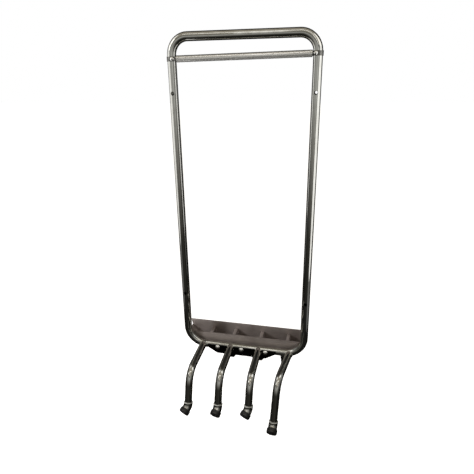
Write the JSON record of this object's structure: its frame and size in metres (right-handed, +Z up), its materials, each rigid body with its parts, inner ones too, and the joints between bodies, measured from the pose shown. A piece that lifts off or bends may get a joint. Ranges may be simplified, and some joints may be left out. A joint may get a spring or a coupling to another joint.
{
  "type": "wall clothing rack with divided tray and four hook arms",
  "caption": "Tall round-cornered chrome tube loop with a sliding hang bar near its top, a shallow divided tray along its foot and forward hook arms with swivelling elbow tips.",
  "frame": {"origin": "middle of the four wall fixings, on the plane that touches the backs of the uprights", "axes": "+X to the right as the rack is seen from the front, +Y away from the viewer towards the wall, +Z up"},
  "size_m": [0.5456, 0.3622, 1.4669],
  "materials": {
    "chrome_tube": "bright nickel-chrome plating on welded steel tube, lightly aged",
    "dark_chrome": "dull chrome plating on steel plate and clamps",
    "tray_sheet": "brushed stainless sheet, fine grain along the tray",
    "bright_fastener": "polished domed heads",
    "zinc_steel": "zinc-plated steel",
    "bush_plastic": "light grey nylon",
    "cap_plastic": "dark grey moulded plastic"
  },
  "bodies": {
    "rack": {"arm_1": "chrome_tube", "arm_2": "chrome_tube", "arm_3": "chrome_tube", "arm_4": "chrome_tube", "arm_4_gusset": "dark_chrome", "arm_bush_1": "bush_plastic", "arm_bush_2": "bush_plastic", "arm_bush_3": "bush_plastic", "arm_bush_4": "bush_plastic", "arm_plate": "dark_chrome", "frame_loop": "chrome_tube", "plate_bolts": "bright_fastener", "plate_nuts": "zinc_steel", "plate_washers": "zinc_steel", "tray_back": "tray_sheet", "tray_divider_1": "tray_sheet", "tray_divider_2": "tray_sheet", "tray_divider_3": "tray_sheet", "tray_divider_4": "tray_sheet", "tray_pan": "tray_sheet", "tray_rivet_1": "zinc_steel", "tray_rivet_2": "zinc_steel", "tray_rivet_3": "zinc_steel", "tray_rivet_4": "zinc_steel", "tray_rivet_5": "zinc_steel"},
    "hang_bar_unit": {"hang_bar": "chrome_tube", "left_bar_clamp": "dark_chrome", "right_bar_clamp": "dark_chrome", "left_clamp_screw": "bright_fastener", "right_clamp_screw": "bright_fastener"},
    "tip_1": {"tip_stem_1": "zinc_steel", "tip_clip_1": "zinc_steel", "tip_elbow_1": "chrome_tube", "tip_cap_1": "cap_plastic"},
    "tip_2": {"tip_stem_2": "zinc_steel", "tip_clip_2": "zinc_steel", "tip_elbow_2": "chrome_tube", "tip_cap_2": "cap_plastic"},
    "tip_3": {"tip_stem_3": "zinc_steel", "tip_clip_3": "zinc_steel", "tip_elbow_3": "chrome_tube", "tip_cap_3": "cap_plastic"},
    "tip_4": {"tip_stem_4": "zinc_steel", "tip_clip_4": "zinc_steel", "tip_elbow_4": "chrome_tube", "tip_cap_4": "cap_plastic"}
  },
  "joints": [
    {"name": "hang_bar_slide", "type": "slide", "parent": "rack", "child": "hang_bar_unit", "axis": [0, 0, -1], "range_m": [0, 0.78]},
    {"name": "tip_1_swivel", "type": "hinge", "parent": "rack", "child": "tip_1", "pos_m": [-0.186, -0.25648, -0.77431], "axis": [0, -0.2823, -0.9593], "continuous": true},
    {"name": "tip_2_swivel", "type": "hinge", "parent": "rack", "child": "tip_2", "pos_m": [-0.062, -0.25338, -0.76375], "axis": [0, -0.2823, -0.9593], "continuous": true},
    {"name": "tip_3_swivel", "type": "hinge", "parent": "rack", "child": "tip_3", "pos_m": [0.062, -0.25027, -0.7532], "axis": [0, -0.2823, -0.9593], "continuous": true},
    {"name": "tip_4_swivel", "type": "hinge", "parent": "rack", "child": "tip_4", "pos_m": [0.16251, -0.2543, -0.80884], "axis": [-0.0393, -0.2796, -0.9593], "continuous": true}
  ]
}
